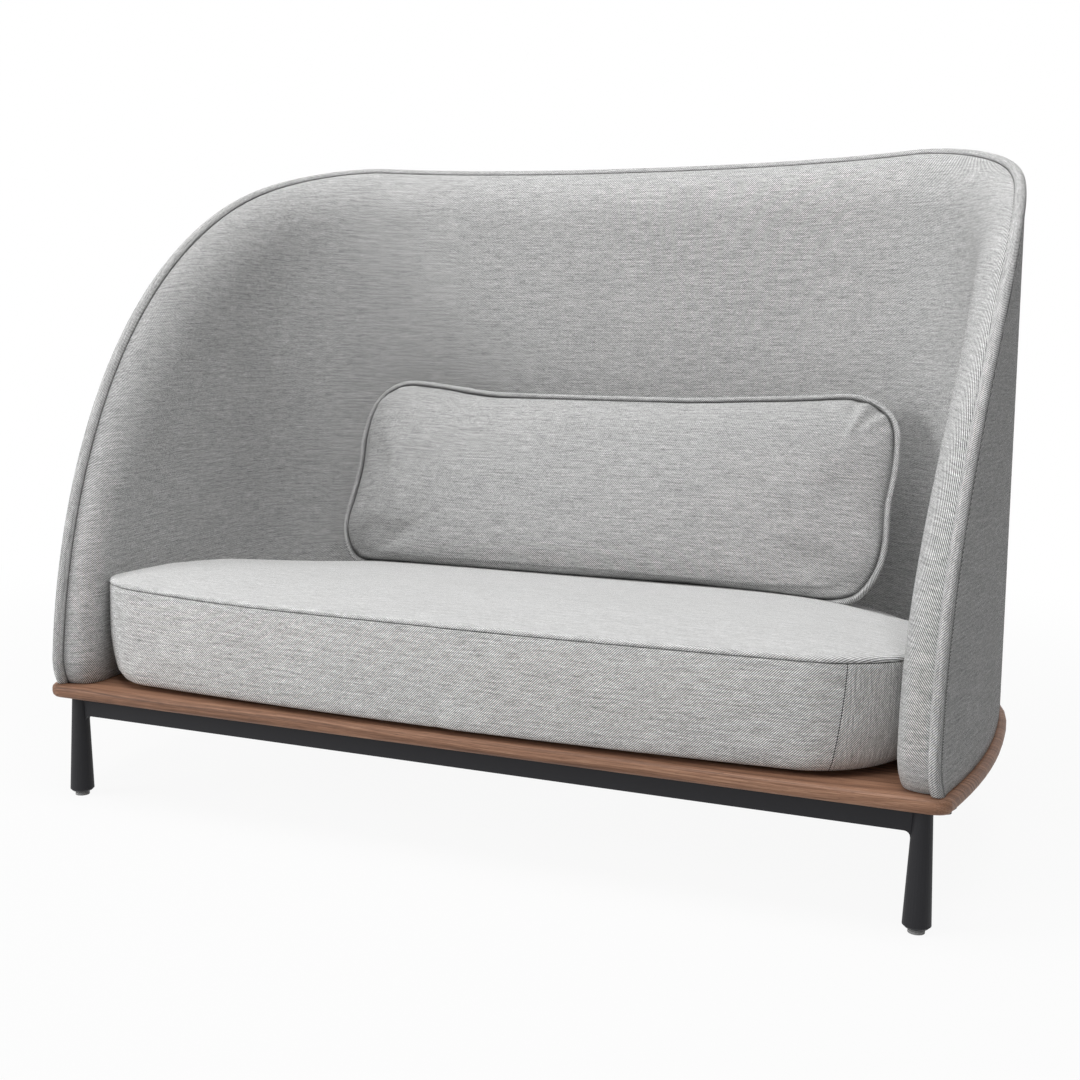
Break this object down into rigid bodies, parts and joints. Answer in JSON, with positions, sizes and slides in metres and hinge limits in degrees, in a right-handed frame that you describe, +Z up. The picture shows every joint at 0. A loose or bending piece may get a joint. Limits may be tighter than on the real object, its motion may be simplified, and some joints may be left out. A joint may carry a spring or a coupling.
{
  "type": "two-seater sofa",
  "caption": "High-backed sofa with a wrap-round upholstered shell and wings, a boxed seat cushion and a loose lumbar pillow on a wooden plinth board with tapered steel legs.",
  "frame": {"origin": "floor level under the middle of the sofa's outline", "axes": "+X to the viewer's right along the length, +Y from the open front to the back, +Z up"},
  "size_m": [1.6572, 0.9596, 1.2234],
  "materials": {
    "black_steel": "matt powder coat",
    "bright_steel": "zinc plated",
    "grey_plastic": "moulded",
    "walnut": "satin lacquer",
    "plywood": "raw",
    "stained_plywood": "black stain",
    "foam": "open cell foam",
    "grey_weave": "two-tone woven"
  },
  "bodies": {
    "sofa": {"leg_front_left": "black_steel", "insert_front_left": "bright_steel", "leg_front_right": "black_steel", "insert_front_right": "bright_steel", "leg_rear_left": "black_steel", "insert_rear_left": "bright_steel", "leg_rear_right": "black_steel", "insert_rear_right": "bright_steel", "rail_front": "black_steel", "rail_rear": "black_steel", "rail_left": "black_steel", "rail_right": "black_steel", "rail_centre": "black_steel", "tab_1": "black_steel", "tab_screw_1": "bright_steel", "seat_screw_1": "bright_steel", "tab_2": "black_steel", "tab_screw_2": "bright_steel", "seat_screw_2": "bright_steel", "tab_3": "black_steel", "tab_screw_3": "bright_steel", "seat_screw_3": "bright_steel", "tab_4": "black_steel", "tab_screw_4": "bright_steel", "seat_screw_4": "bright_steel", "shell_screw_1": "bright_steel", "shell_screw_2": "bright_steel", "shell_screw_3": "bright_steel", "shell_screw_4": "bright_steel", "shell_screw_5": "bright_steel", "shell_screw_6": "bright_steel", "plinth_board": "walnut", "seat_base": "stained_plywood", "shell_core": "plywood", "seat_foam": "foam", "shell_pad": "foam", "shell_inner_cover": "grey_weave", "shell_outer_cover": "grey_weave", "shell_edge_band": "grey_weave", "seat_boxing": "grey_weave", "seat_top_panel": "grey_weave"},
    "lumbar_pillow": {"lumbar_insert": "foam", "lumbar_front_panel": "grey_weave", "lumbar_back_panel": "grey_weave", "lumbar_welt": "grey_weave"},
    "levelling_foot_front_left": {"glide_front_left": "grey_plastic", "stud_front_left": "bright_steel"},
    "levelling_foot_front_right": {"glide_front_right": "grey_plastic", "stud_front_right": "bright_steel"},
    "levelling_foot_rear_left": {"glide_rear_left": "grey_plastic", "stud_rear_left": "bright_steel"},
    "levelling_foot_rear_right": {"glide_rear_right": "grey_plastic", "stud_rear_right": "bright_steel"}
  },
  "joints": [
    {"name": "levelling_foot_front_left_thread", "type": "slide", "parent": "sofa", "child": "levelling_foot_front_left", "axis": [0, 0, -1], "range_m": [0, 0.012]},
    {"name": "levelling_foot_front_right_thread", "type": "slide", "parent": "sofa", "child": "levelling_foot_front_right", "axis": [0, 0, -1], "range_m": [0, 0.012]},
    {"name": "levelling_foot_rear_left_thread", "type": "slide", "parent": "sofa", "child": "levelling_foot_rear_left", "axis": [0, 0, -1], "range_m": [0, 0.012]},
    {"name": "levelling_foot_rear_right_thread", "type": "slide", "parent": "sofa", "child": "levelling_foot_rear_right", "axis": [0, 0, -1], "range_m": [0, 0.012]},
    {"name": "lumbar_pillow_lift", "type": "slide", "parent": "sofa", "child": "lumbar_pillow", "axis": [0, 0, 1], "range_m": [0, 0.3]}
  ]
}
